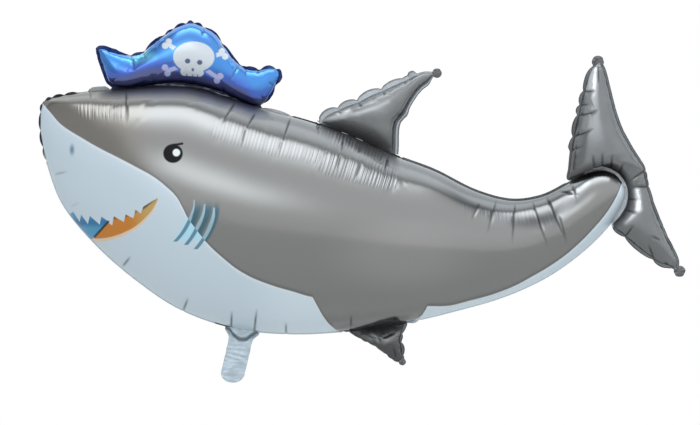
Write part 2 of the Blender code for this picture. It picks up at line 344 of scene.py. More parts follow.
def weldedEdge(name, wish, film, runs, folds, material):
    # the flat edge outside a seam: lobes between the folds, each leaning its own way
    dice = np.random.default_rng(wish["seed"] + 50)
    edge = wish["edge"]
    parts = []
    for side, run in enumerate(runs):
        seam = film[:, -side][:, [0, 2]]
        spots = [fromPhoto(*notch) for notch in edge["notches"][side] or ()]
        notches = [run[np.linalg.norm(seam - spot, axis=1).argmin()] for spot in spots]
        last = max(notches, default=0) + rim["clearOfNotch"]
        notches += [fold[0] for fold in folds[side] if fold[0] > last]
        lobe, lean = lobesAt(run, notches, dice, edge)
        narrow, wide = edge["width"][side]
        width = (narrow + (wide - narrow) * lobe) * mm
        tilt, loose = lean * edge["lean"] * lobe, np.ones(len(seam))
        px, py = toPhoto(seam[:, 0], seam[:, 1])
        for x0, y0, x1, y1, plain in edge.get("plain", ()):
            boxed = (px > x0) & (px < x1) & (py > y0) & (py < y1)
            width[boxed], tilt[boxed], loose[boxed] = plain * mm, 0, rim["plainRipple"]
        soft = np.hanning(edge.get("soft", (5, 5))[side] + 2)
        width = np.convolve(np.pad(width, len(soft) // 2, mode="edge"), soft / soft.sum(), mode="valid")
        part = np.column_stack((seam, width, tilt, run + rim["secondEdge"] * side, loose))
        parts.append(part if side == 0 else part[::-1])
    loop = np.concatenate(parts)
    closed = not wish.get("base")
    if closed:
        loop = np.concatenate((loop, loop[:1]))
    # outward direction from a smoothed seam line, turning round the tips
    reach, line = rim["reach"], loop[:, 0:2]
    if closed:
        padded = np.concatenate((line[-reach - 1:-1], line, line[1:reach + 1]))
    else:
        padded = np.pad(line, ((reach, reach), (0, 0)), mode="edge")
    tangent = padded[2 * reach:] - padded[:-2 * reach]
    tangent /= np.maximum(np.linalg.norm(tangent, axis=1, keepdims=True), 1e-9)
    outward = np.column_stack((-tangent[:, 1], tangent[:, 0]))
    if np.sum((line - line.mean(axis=0)) * outward) < 0:
        outward = -outward
    across = np.linspace(0, 1, rim["steps"])
    points = np.zeros((len(loop), rim["steps"], 3))
    wave = np.array([wavy(s * rim["ripples"], wish["seed"], 0) for s in loop[:, 4]])
    wave *= rim["ripple"] * loop[:, 5]
    for k, share in enumerate(across):
        far = loop[:, 2] * share - rim["under"]
        points[:, k, 0] = line[:, 0] + outward[:, 0] * far
        points[:, k, 2] = line[:, 1] + outward[:, 1] * far
        points[:, k, 1] = loop[:, 2] * np.sin(loop[:, 3]) * share**1.3 + wave * share
    if closed:
        points[-1] = points[0]
    printed = seenAt(points)[2]
    s = np.repeat(loop[:, 4:5], rim["steps"], axis=1)
    seamed = np.stack((s, np.tile(across, (len(loop), 1))), axis=-1)
    strip = gridMesh(name, points, printed, seamed)
    thick = strip.modifiers.new("film", "SOLIDIFY")
    thick.thickness, thick.offset = edge.get("thick", 0.3) * mm, 0
    strip.data.materials.append(material)
    return strip


class Wire:
    # a value in a node material, so that a pattern is written as a sum of values
    def __init__(self, ink, socket):
        self.ink, self.socket = ink, socket

    def __add__(self, other):
        return self.ink.math("ADD", self, other)

    def __sub__(self, other):
        return self.ink.math("SUBTRACT", self, other)

    def __rsub__(self, other):
        return self.ink.math("SUBTRACT", other, self)

    def __mul__(self, other):
        return self.ink.math("MULTIPLY", self, other)

    def __truediv__(self, other):
        return self.ink.math("DIVIDE", self, other)

    def __or__(self, other):
        return self.ink.math("MAXIMUM", self, other)

    def __abs__(self):
        return self.ink.math("ABSOLUTE", self)


# patterns count in photo pixels (px, py), or in metres along and away from a seam (s, d)
def ramp(value, low, high, outLow=0.0, outHigh=1.0, smooth=True):
    ends = {"Value": value, "From Min": low, "From Max": high, "To Min": outLow, "To Max": outHigh}
    return value.ink.node("MapRange", ends, "Result", interpolation_type="SMOOTHSTEP" if smooth else "LINEAR")


def inside(distance, soft=0.7):
    # 1 where a signed distance in pixels is below zero, with a soft edge
    return ramp(distance, soft, -soft)


def band(value, start, full, last, end):
    # rises to 1 between start and full, and falls between last and end
    return ramp(value, start, full) * ramp(value, end, last)


def curve(value, points, corners=False):
    # a line through the points, both axes in pixels
    xs, ys = zip(*sorted(points))
    lowX, highX, lowY, highY = min(xs), max(xs), min(ys), max(ys)
    made = value.ink.node("FloatCurve", {"Value": ramp(value, lowX, highX, smooth=False)})
    mapping = made.socket.node.mapping
    line = mapping.curves[0]
    scaled = [((x - lowX) / (highX - lowX), (y - lowY) / (highY - lowY)) for x, y in zip(xs, ys)]
    line.points[0].location, line.points[-1].location = scaled[0], scaled[-1]
    for x, y in scaled[1:-1]:
        line.points.new(x, y)
    for point in line.points:
        point.handle_type = "VECTOR" if corners else "AUTO_CLAMPED"
    mapping.update()
    return ramp(made, 0.0, 1.0, lowY, highY, smooth=False)


class Inks:
    # short words for building a node material whose patterns read the print map
    def __init__(self, name, owners="materials"):
        self.owner = getattr(bpy.data, owners).new(name)
        self.owner.use_nodes = True
        self.tree = self.owner.node_tree
        self.shader = self.tree.nodes.get("Principled BSDF")

    def put(self, socket, value):
        if isinstance(value, Wire):
            self.tree.links.new(value.socket, socket)
        else:
            socket.default_value = (*value, 1.0) if socket.type == "RGBA" else value

    def node(self, kind, inputs=(), output=0, **settings):
        # adds a node, with values for some of its inputs, and returns one of its outputs
        made = self.tree.nodes.new("ShaderNode" + kind)
        for setting, value in settings.items():
            setattr(made, setting, value)
        for title, value in dict(inputs).items():
            self.put(made.inputs[title], value)
        return Wire(self, made.outputs[output])

    def math(self, operation, *values, clamp=False):
        return self.node("Math", enumerate(values), operation=operation, use_clamp=clamp)

    def split(self, place):
        made = self.node("SeparateXYZ", {0: place}).socket.node
        return [Wire(self, socket) for socket in made.outputs]

    def mapCoordinates(self, mapName):
        return self.split(self.node("UVMap", uv_map=mapName))[:2]

    def photoCoordinates(self):
        u, v = self.mapCoordinates("print")
        self.px, self.py = u * photo["size"][0], (1.0 - v) * photo["size"][1]
        return self.px, self.py

    def far(self, dx, dy):
        return self.math("SQRT", dx * dx + dy * dy)

    def disc(self, centre, radiusX, radiusY):
        far = self.far((self.px - centre[0]) / radiusX, (self.py - centre[1]) / radiusY)
        return (far - 1.0) * min(radiusX, radiusY)

    def bar(self, start, end, width):
        # distance to a straight stroke with round ends
        ex, ey = end[0] - start[0], end[1] - start[1]
        dx, dy = self.px - start[0], self.py - start[1]
        share = self.math("DIVIDE", dx * ex + dy * ey, ex * ex + ey * ey, clamp=True)
        return self.far(dx - share * ex, dy - share * ey) - width / 2

    def union(self, *distances):
        found = distances[0]
        for other in distances[1:]:
            found = self.math("MINIMUM", found, other)
        return found

    def colour(self, under, over, mask, blend="MIX"):
        return self.node("Mix", {"Factor": mask, 6: under, 7: over}, 2, data_type="RGBA", blend_type=blend)

    def value(self, under, over, mask):
        return self.node("Mix", {"Factor": mask, 2: under, 3: over}, data_type="FLOAT")

    def lay(self, tone, mask):
        # one more ink over what is printed so far
        self.tone = self.colour(self.tone, tone, mask)

    def noise(self, scale, detail=2.0, stretch=(1, 1, 1)):
        place = self.node("TexCoord", output="Object")
        squeeze = self.node("Mapping", {"Vector": place, "Scale": stretch})
        return self.node("TexNoise", {"Vector": squeeze, "Scale": scale, "Detail": detail})

    def bump(self, height, strength, distance):
        made = self.node("Bump", {"Height": height, "Strength": strength, "Distance": distance})
        self.put(self.shader.inputs["Normal"], made)

    def foil(self, metallic, roughness, creases=0.0):
        # the finished film: its inks, painted shade in its creases, its metal and its gloss
        if creases:
            dark = self.node("Attribute", output="Fac", attribute_type="GEOMETRY", attribute_name="crease")
            self.lay((0.012, 0.013, 0.017), dark * creases)
        for title, value in (("Base Color", self.tone), ("Metallic", metallic), ("Roughness", roughness)):
            self.put(self.shader.inputs[title], value)


bodyInk = {
    "grey": (0.303, 0.300, 0.294),
    "white": (0.68, 0.785, 0.865),
    "rim": (0.80, 0.87, 0.92),
    # where rows of fine grooves show: start, end and width of a stroke in photo pixels, and their strength
    "combs": (
        ((86, 111), (123, 111), 19, 0.42), ((216, 126), (252, 138), 26, 0.42),
        ((256, 140), (318, 153), 24, 0.5), ((328, 163), (386, 177), 26, 0.8),
        ((322, 131), (384, 156), 15, 1.3), ((464, 208), (546, 220), 16, 0.22),
    ),
    # a painted highlight stroke and a painted shade stroke on the tail stalk: start, end, width, how far in
    # it is full, colour and strength
    "streaks": (
        ((586, 183), (561, 213), 8.0, -3.0, (0.42, 0.43, 0.44), 0.8),
        ((549, 201), (568, 192), 4.0, -2.0, (0.16, 0.162, 0.165), 0.7),
    ),
    "black": (0.004, 0.004, 0.005),
    "orange": (0.66, 0.25, 0.045),
    "yellow": (0.60, 0.40, 0.15),
    "brown": (0.10, 0.075, 0.04),
    "cream": (0.92, 0.66, 0.42),
    "line": (0.035, 0.055, 0.05),
    "mouthBlue": (0.10, 0.37, 0.60),
    "mouthDeep": (0.055, 0.22, 0.44),
    "gillOnGrey": (0.44, 0.62, 0.72),
    "gillOnWhite": (0.15, 0.31, 0.42),
    "gillShade": (0.095, 0.195, 0.245),
    "gillFill": (0.50, 0.84, 1.0),
    "tooth": (0.85, 0.90, 0.92),
    "hatShade": (0.07, 0.078, 0.13),
    "finShade": (0.045, 0.046, 0.053),
    "finWeld": ((314, 121), (330, 127.6), (345, 133.8), (360, 140.5), (375, 147.5), (392, 155), (402, 159)),
    "lowShade": ((322, 316), (336, 320), (352, 319), (380, 315.5), (399, 311), (413, 309), (425, 305)),
    "hatWeld": (
        (104, 86.5), (118, 86.0), (130, 85.6), (147, 85.0), (160, 84.6), (186, 85.9), (202.8, 87.8),
        (211.7, 90.4), (218.7, 93.5), (228.3, 96.1), (238.5, 100.6), (250, 106),
    ),
    # where the grey above meets the white below, from the snout to the tail, in photo pixels
    "belly": (
        (36, 96), (44, 105), (51, 113.2), (61, 124.4), (70, 130.8), (80, 136.8), (98, 147.3), (119, 158),
        (138, 168), (153, 176.4), (165, 185.6), (176, 196.3), (182, 206.5), (188.7, 219.5), (195.5, 228.6),
        (205, 240.7), (219, 254.5), (246, 274.5), (271, 285.0), (294, 291.8), (312.5, 297), (330, 299),
        (380, 304), (428, 306), (440, 306.2), (471, 300.3), (505, 289.9), (534, 275.4), (560, 259.2),
        (576.6, 245.6), (593.2, 228.8), (606.4, 213), (614.7, 199.8), (620.5, 187), (626, 168),
    ),
    # the pectoral fin's outline below that line
    "pectoral": (
        (306, 285), (312, 296), (318, 307), (324, 317.3), (332, 326.5), (339.4, 331), (352, 332),
        (380, 328), (399.6, 323.5), (413.9, 320.4), (420, 317), (425, 310.5), (428.2, 304), (434, 285),
    ),
    "weldGlints": (((343.0, 133.0), (346.4, 135.0)), ((357.4, 137.6), (361.4, 140.0))),
    # gill lines: photo y, photo x
    "gills": (
        (
            (199.8, 194.2), (207.1, 193.8), (214.5, 191.5), (221, 189.1), (228.4, 185.4), (234.5, 181.3),
            (241.6, 175.1),
        ),
        ((203.9, 204.9), (212, 203.7), (220.2, 200.9), (227.6, 197.2), (235.7, 192.8), (244.9, 186)),
        ((207.6, 214.1), (215.3, 213.5), (223.5, 211.1), (232.9, 207), (241.4, 201.7), (249.2, 195.6)),
    ),
    "eye": ((173, 153.4), 9.7, 9.4),  # centre and two radii
    "glint": ((176.4, 152.6), 3.7, 3.7),
    "lid": (((167.0, 148.4), (174.0, 145.0), 3.2), ((174.0, 145.0), (182.2, 143.6), 2.3)),
    "nostril": ((72, 149.7), 2.0, 4.4),
    "mouthLow": (
        (84, 234), (90, 237.4), (96.4, 238.6), (106.6, 237.8), (116.2, 235.4), (125.8, 231.6),
        (135.3, 226.4), (144.9, 218.2), (152.6, 209.2), (158.2, 198.2),
    ),
    # zigzag of the teeth over the orange: each peak, then the next tooth's tip
    "orangeTop": (
        (106, 221.5), (112.2, 225.3), (113.8, 216.3), (123.9, 222), (125.6, 214.5), (133.4, 218.2),
        (135.5, 209.8), (140.8, 213.5), (143.2, 206.8), (151.3, 201.7), (158.2, 198.0),
    ),
    "peaks": (
        (104, 220), (113.7, 219.4), (124.8, 217.6), (135.3, 212.8), (143, 209.8), (151, 203.8),
        (158.2, 198.6),
    ),
    "blueTop": (
        (68, 215), (73.2, 211.8), (79.7, 222), (81.0, 214.5), (87.9, 224), (89.8, 215.8), (99.7, 224.6),
        (101.4, 216.5), (108.4, 221.5),
    ),
    "divider": ((94.8, 236.6), (108.2, 221.8)),
}
# a painted highlight colour for flat welds
weldHighlight = (0.90, 0.92, 0.94)
flatEdge = 0.0085  # metres of flat film along the seam above the tail stalk
tailRing = ((600, 196.5), 27.5, 27.5)  # the end of the body against the tail fin, in photo pixels


def dimmed(colour, share):
    return tuple(c * share for c in colour)


def bodyGreyMask(ink, px, py):
    # 1 on the grey above the belly line and on the pectoral fin, and the height above that line
    belly = curve(px, bodyInk["belly"]) - py
    lobe = curve(px, bodyInk["pectoral"]) - py
    inLobe = inside(306.5 - px) * inside(px - 433.5)
    above = belly | ink.value(-20.0, lobe, inLobe)
    return inside(above * -1.0), above


def printBackAndLight(ink, px, above):
    # the grey: dark along its edge, with a painted highlight low on the flank, painted shade over the top of
    # the tail stalk, and painted highlight and shade strokes on the stalk
    s, d = ink.mapCoordinates("seam")
    edge = ramp(above, 0.0, 4.5, 0.45, 1.0)
    ink.tone = ink.colour(dimmed(bodyInk["grey"], 0.4), bodyInk["grey"], edge)
    # a painted highlight low on the flank
    ink.lay((0.36, 0.356, 0.349), ramp(ink.disc((402, 255), 96, 46), 0.0, -36.0))
    # painted shade over the top of the tail stalk, where no highlight shows
    paintedStalkShade = ramp(s, 2.5, 2.0) * ramp(d, 0.090, 0.066) * ramp(d, 0.050, 0.066, 0.25, 1.0)
    ink.lay((0.125, 0.127, 0.13), paintedStalkShade * band(px, 430, 462, 552, 566) * 0.85)
    # painted highlight and painted shade strokes on the tail stalk
    for start, end, width, full, tone, share in bodyInk["streaks"]:
        ink.lay(tone, ramp(ink.bar(start, end, width), 2.5, full) * share)
    ink.lay((0.305, 0.287, 0.262), ramp(px, 165, 115))
    return ink.tone


def paintShade(ink, px, py, grey):
    # painted shade in the shelter of the hat, the dorsal fin, the tail fin and the pectoral fin
    s, d = ink.mapCoordinates("seam")
    underHat = py - curve(px, bodyInk["hatWeld"])
    underFin = py - curve(px, bodyInk["finWeld"])
    byFin = ramp(underFin, 16.0, -1.0) * band(px, 317, 327, 394, 402)
    byTail = ramp(ink.disc(*tailRing), -9.5, -5.0) * ramp(py, 185, 181) * ramp(px, 578, 588)
    low = ramp(py - curve(px, bodyInk["lowShade"]), 3.0, 9.0) * band(px, 330, 345, 404, 418)
    ink.lay(bodyInk["hatShade"], ramp(underHat, 15.0, -1.0) * band(px, 96, 106, 254, 262) * 0.86)
    for mask, share in ((byFin, 0.72), (byTail, 0.7), (low, 0.6)):
        ink.lay(bodyInk["finShade"], mask * share)
    # the flat edge above the tail stalk, drawn on the film: a line along its inner side
    onStalk = band(px, 404, 420, 560, 570) * ramp(s, 2.5, 2.0) * grey
    ink.lay((0.12, 0.125, 0.14), ramp(d, flatEdge, 0.006) * onStalk)
    ink.lay((0.045, 0.05, 0.06), ramp(abs(d - flatEdge), 0.0022, 0.0006) * onStalk * 0.8)
    return byFin | ramp(underHat, 16.0, 12.0) * band(px, 92, 104, 264, 276)


def printGills(ink, px, py, grey):
    # pale lines with teal shade on the grey, blue lines with pale fill on the white
    shades, strokes = [], []
    thick = ramp(py, 200, 228, 0.5, 2.1)
    rights = [px - curve(py, line) for line in bodyInk["gills"]]
    for right, line, reach in zip(rights, bodyInk["gills"], (11.0, 11.0, 7.0)):
        shades.append(inside(right * -1.0) * ramp(right, reach * 0.45, reach, 1.0, 0.0))
        ends = inside(line[0][0] - py) * inside(py - line[-1][0])
        strokes.append(ends * inside(abs(right) - thick))
    shade = (shades[0] | shades[1] | shades[2]) * band(py, 199, 212, 240, 250)
    ink.lay(bodyInk["gillShade"], shade * grey)
    between = ramp(rights[0], -8.0, 0.0) * inside(rights[2]) * band(py, 214, 222, 234, 246)
    ink.lay(bodyInk["gillFill"], between * (1.0 - grey) * 0.95)
    line = ink.colour(bodyInk["gillOnWhite"], bodyInk["gillOnGrey"], grey)
    ink.lay(line, strokes[0] | strokes[1] | strokes[2])


def printMouth(ink, px, py):
    # orange with teeth, and the blue far side past the divider
    below = py - curve(px, bodyInk["mouthLow"])
    (ax, ay), (bx, by) = bodyInk["divider"]
    side = ((px - ax) * (ay - by) - (py - ay) * (ax - bx)) / math.hypot(bx - ax, by - ay)
    orangeTop = curve(px, bodyInk["orangeTop"], corners=True)
    orange = inside(below) * inside(orangeTop - py) * inside(side * -1.0) * inside(px - 158)
    blueTop = curve(px, bodyInk["blueTop"], corners=True)
    blue = inside(blueTop - py) * inside(side) * inside(px - 108) * inside(py - 239)
    halo = ramp(abs(below - 1.3), 2.6, 0.8) * inside(93 - px) * inside(px - 158)
    ink.lay(bodyInk["cream"], halo * 0.85)
    deep = ramp(abs(py - 222.0), 7.0, 1.0)
    ink.lay(ink.colour(bodyInk["mouthBlue"], bodyInk["mouthDeep"], deep), blue)
    orangeInk = ink.colour(bodyInk["orange"], bodyInk["yellow"], ramp(px, 128, 150))
    tips = ramp(py - curve(px, bodyInk["peaks"]), 1.2, -2.2)
    ink.lay(ink.colour(orangeInk, bodyInk["brown"], tips), orange)
    divider = inside(ink.bar(*bodyInk["divider"], 2.3))
    ink.lay(bodyInk["line"], divider)
    return divider | orange | blue


def bodyMaterial():
    ink = Inks("printed body foil")
    px, py = ink.photoCoordinates()
    grey, above = bodyGreyMask(ink, px, py)
    # the white is painted lighter from mid-body to the stalk, standing in for stronger light there
    brighterAft = band(px, 235, 300, 520, 570)
    white = ink.colour(bodyInk["white"], (0.76, 0.87, 0.95), brighterAft)
    white = ink.colour(white, bodyInk["rim"], ramp(above, -5.0, 0.0))
    ink.tone = ink.colour(white, printBackAndLight(ink, px, above), grey)
    sheltered = paintShade(ink, px, py, grey)
    printGills(ink, px, py, grey)
    mouth = printMouth(ink, px, py)
    ink.lay((0.20, 0.32, 0.43), inside(ink.disc(*bodyInk["nostril"]), 1.8))
    lid = (ink.bar(*stroke) for stroke in bodyInk["lid"])
    black = inside(ink.union(ink.disc(*bodyInk["eye"]), *lid))
    ink.lay(bodyInk["black"], black)
    ink.lay(bodyInk["tooth"], inside(ink.disc(*bodyInk["glint"])))
    gathers, groove = crinkle(ink, 1.0, combs=bodyInk["combs"])
    # painted shade in the grooves and painted sheen between them, where rows of fine grooves show
    grooveShadeAndSheen = ink.colour((0.46, 0.46, 0.47), (0.08, 0.08, 0.09), ramp(groove, 0.2, 0.9))
    ink.lay(grooveShadeAndSheen, ink.math("MULTIPLY", gathers, 0.36, clamp=True))
    opaque = black | mouth
    metallic = ink.value(ink.value(0.3, 0.96, grey), 0.1, opaque)
    grain = (ink.noise(900) - 0.5) * 0.04
    roughness = ink.value(ink.value(0.32, 0.16, grey), 0.42, opaque) + grain
    ink.foil(metallic, ink.value(roughness, 0.5, sheltered), creases=0.88)
    ink.put(ink.shader.inputs["Specular IOR Level"], 0.2)
    return ink.owner


gather = {
    "combPitch": 3.7,           # pixels from groove to groove
    "seamPitch": 0.0046,        # metres from groove to groove
    "lean": 0.30,               # pixels sideways for each pixel down, on the back
    "drift": 1.1,               # how unevenly the grooves are spaced
    "round": 0.7,
    "faint": 0.25,
    "depth": 0.36 * mm,
}


def crinkle(ink, amount, combs=None):
    # gathers in the film: rows of fine grooves, at the given strokes or along the seams
    s, d = ink.mapCoordinates("seam")
    if combs:
        px, py, zone = ink.px, ink.py, None
        for start, end, width, strength in combs:
            part = ramp(ink.bar(start, end, width), 2.0, -5.0, 0.0, strength)
            zone = zone | part if zone else part
        onBack = px + py * ramp(px, 128, 214, 0.0, gather["lean"])
        onStalk = (s + d * 0.2) / photo["pixel"]
        place = ink.value(onBack, onStalk, ramp(px, 430, 431)) / gather["combPitch"]
    else:
        zone = ramp(d, 0.004, 0.03, 1.0, 0.0)
        place = s / gather["seamPitch"]
    drift = ink.node("TexNoise", {"W": place * 0.27}, noise_dimensions="1D") * gather["drift"]
    groove = ink.math("POWER", ink.math("PINGPONG", place + drift, 0.5) * 2.0, gather["round"])
    gathers = zone * ramp(ink.noise(14.0, 1.0), 0.40, 0.56, 0.25, 1.0)
    ink.bump(gathers * groove + ink.noise(30) * gather["faint"], amount, gather["depth"])
    return gathers, groove


def plainFoil(name, colour, roughness, amount=1.0, shelter=None, lit=()):
    # grey foil, with painted highlight strokes and painted shade where they are given
    ink = Inks(name)
    ink.tone = ink.colour(dimmed(colour, 0.9), colour, ramp(ink.noise(30), 0.3, 0.7))
    grain = ink.noise(600) * 0.06 + (roughness - 0.03)
    if shelter:
        ink.photoCoordinates()
        for start, end, width, level in lit:
            mask = ramp(ink.bar(start, end, width), 3.0, -3.0)
            ink.lay((level * 0.98, level, level * 1.01), mask)
        sheltered = shelter(ink)
        ink.lay(dimmed(colour, 0.13), sheltered)
        grain = ink.value(grain, 0.55, ramp(sheltered, 0.0, 0.22))
    ink.foil(0.95, grain, creases=0.8)
    crinkle(ink, amount)
    return ink.owner


def dorsalShelter(ink):
    # painted shade on the dorsal fin, darkening down to its weld
    return ramp(ink.py - curve(ink.px, dorsal["shade"]), -8.0, 9.0) * 0.3


def tailShelter(ink):
    # painted shade: a dark crescent round the end of the body
    return ramp(ink.disc(*tailRing), 11.0, 2.0) * 0.62


def ventralShelter(ink):
    # painted shade on the ventral fin along its weld
    return ramp(ink.py - curve(ink.px, ventral["shade"]), 10.0, 2.0) * 0.2


def edgeMaterial(name, inner, outer, printed=None, metallic=0.85, fold=0.8):
    # pressed film that is darker along its cut rim, with faint weld ribs
    ink = Inks(name)
    d = ink.mapCoordinates("seam")[1]
    ribs = (ink.math("SINE", d * 40.0) + 1.0) * 0.5
    ink.tone = ink.colour(inner, outer, ramp(d, 0.62, 0.95))
    ink.lay(dimmed(inner, 0.3), ramp(d, 0.16, 0.05) * fold)
    if printed:
        printed(ink)
    ink.lay((0.5, 0.5, 0.5), ramp(ink.noise(90), 0.35, 0.7) * 0.08)
    ink.foil(metallic, ribs * 0.05 + 0.33)
    ink.bump(ribs + ink.noise(160), 0.6, 0.25 * mm)
    return ink.owner


def bodyEdgeInkAndLight(ink):
    # the body's edge: white round the belly, painted shade under the hat and the fins, pale beside the hat,
    # and painted highlights on the welds
    px, py = ink.photoCoordinates()
    grey = bodyGreyMask(ink, px, py)[0]

    def between(low, high):
        return band(px, low - 1, low + 1, high - 1, high + 1)

    # painted shade just before the dorsal fin
    ink.lay((0.02, 0.02, 0.024), between(293, 318))
    # a painted dark reflection along the snout's edge
    ink.lay((0.012, 0.014, 0.02), ramp(px, 84, 80) * ramp(py, 149, 145))
    ink.lay((0.34, 0.345, 0.35), between(86, 110) | between(262, 291))
    # painted shade under the hat
    ink.lay((0.012, 0.011, 0.035), between(112, 261))
    # a thin painted highlight where the two welds meet under the hat
    off = abs(py - curve(px, bodyInk["hatWeld"]))
    broken = ramp(ink.noise(70), 0.40, 0.60, 0.25, 1.0)
    ink.lay((0.42, 0.44, 0.52), ramp(off, 1.1, 0.2) * between(132, 243) * broken)
    ink.lay(bodyInk["white"], (1.0 - grey) * ramp(py, 150, 165))
    # a painted highlight on the weld against the tail fin
    ink.lay(weldHighlight, ramp(px, 583, 586) * ramp(py, 226, 216))
    # painted shade under the fins and beside the neck
    fins = between(314, 402) * ramp(py, 200, 180) | between(350, 407) * ramp(py, 300, 310)
    ink.lay((0.02, 0.02, 0.022), fins | between(215, 230) * ramp(py, 318, 322))
    glints = ink.union(*(ink.bar(start, end, 2.6) for start, end in bodyInk["weldGlints"]))
    ink.lay((0.8, 0.82, 0.84), inside(glints))


def paleArc(ink):
    # a painted highlight on the flat weld between the body and the tail fin
    ink.photoCoordinates()
    ink.lay(weldHighlight, ramp(ink.disc(*tailRing), 6.5, 4.5) * ramp(ink.px, 582, 587))


def trailingFoldShade(ink):
    # painted shade of folds along the trailing edge of the dorsal fin, dark over its pale edge
    s, d = ink.mapCoordinates("seam")
    ink.lay((0.05, 0.06, 0.07), ramp(abs(d - 0.28), 0.36, 0.16) * ramp(s, 4.0, 4.5) * 0.85)


hatInk = {
    "crown": (0.062, 0.27, 0.72),
    "blue": (0.050, 0.28, 0.76),
    "lit": (0.17, 0.72, 1.0),
    "deep": (0.060, 0.155, 0.66),
    "lowLeft": (0.125, 0.145, 0.38),
    "low": (0.090, 0.095, 0.260),
    "white": (0.70, 0.76, 0.82),
    "lilac": (0.48, 0.52, 0.86),
    "hollow": (0.06, 0.10, 0.24),
    # where the blue turns to a dark violet, in photo pixels
    "brim": (
        (92, 85), (109, 80), (122, 78), (131.5, 75.3), (145, 70), (156, 69), (175, 72), (205, 79),
        (224, 83.5), (240, 89.5), (250, 95), (258, 100), (270, 98), (286, 94),
    ),
    "skull": ((193.8, 57), 20.6, 15.4),
    "jaw": ((184.5, 71.5), (199.5, 72.5), 8.5),
    "gaps": (((186.8, 74.5), (186.6, 77.5)), ((192.6, 75.0), (192.6, 78)), ((197.6, 75.0), (197.8, 78))),
    "eyes": ((187.6, 61), (199.7, 62.4)),
    "nose": (192.8, 69.7),
    "bones": (((168, 44), (218, 78)), ((168, 70.5), (222, 53.5))),
    "knobs": (
        (168.6, 41.6), (165.2, 45.6), (220.2, 76.2), (217, 80.4), (165, 67.6), (167.6, 73.2), (221.8, 51.2),
        (225.2, 56.4),
    ),
}


def hatMaterial():
    ink = Inks("printed hat foil")
    px, py = ink.photoCoordinates()
    s, d = ink.mapCoordinates("seam")
    # the print turns to a dark violet towards the weld on the head
    down = py - curve(px, hatInk["brim"])
    ink.tone = ink.colour(hatInk["blue"], hatInk["crown"], ramp(down, -20, -38))
    # a painted highlight on the left of the hat
    ink.lay(hatInk["lit"], ramp(ink.disc((143, 58), 15, 9), 2.0, -6.0))
    ink.lay(hatInk["deep"], ramp(down, -16, -4))
    low = ink.colour(hatInk["lowLeft"], hatInk["low"], ramp(px, 215, 240))
    ink.lay(low, ramp(down, -5.0, 3.0))
    # a painted shade line inside the upper seam
    innerShadeLine = ramp(abs(d - 0.0062), 0.0022, 0.0006) * ramp(s, 2.5, 2.0)
    ink.lay((0.012, 0.05, 0.22), innerShadeLine * band(px, 112, 126, 258, 272) * 0.75)
    # the skull and its crossed bones, with a blue gap between them
    bones = [ink.bar(start, end, 4.2) for start, end in hatInk["bones"]]
    knobs = [ink.disc(knob, 3.3, 3.3) for knob in hatInk["knobs"]]
    head = ink.union(ink.disc(*hatInk["skull"]), ink.bar(*hatInk["jaw"]))
    gaps = inside(ink.union(*(ink.bar(*gap, 1.1) for gap in hatInk["gaps"])))
    face = inside(head) * (1.0 - gaps * 0.6)
    crossed = inside(ink.union(*bones, *knobs)) * (1.0 - inside(head - 1.5))
    ink.lay(ink.colour(hatInk["white"], hatInk["lilac"], ramp(py, 58, 66)), crossed)
    ink.lay(hatInk["white"], face)
    eyes = [ink.disc(eye, 2.7, 2.5) for eye in hatInk["eyes"]]
    ink.lay(hatInk["hollow"], inside(ink.union(*eyes, ink.disc(hatInk["nose"], 1.3, 1.7))))
    ink.foil(ink.value(0.95, 0.15, face | crossed), ink.noise(600) * 0.05 + 0.15, creases=0.6)
    # the clear film over the print mirrors the lamps white
    for title, level in (("Coat Weight", 1.0), ("Coat Roughness", 0.1), ("Coat IOR", 1.55)):
        ink.put(ink.shader.inputs[title], level)
    crinkle(ink, 0.5)
    return ink.owner


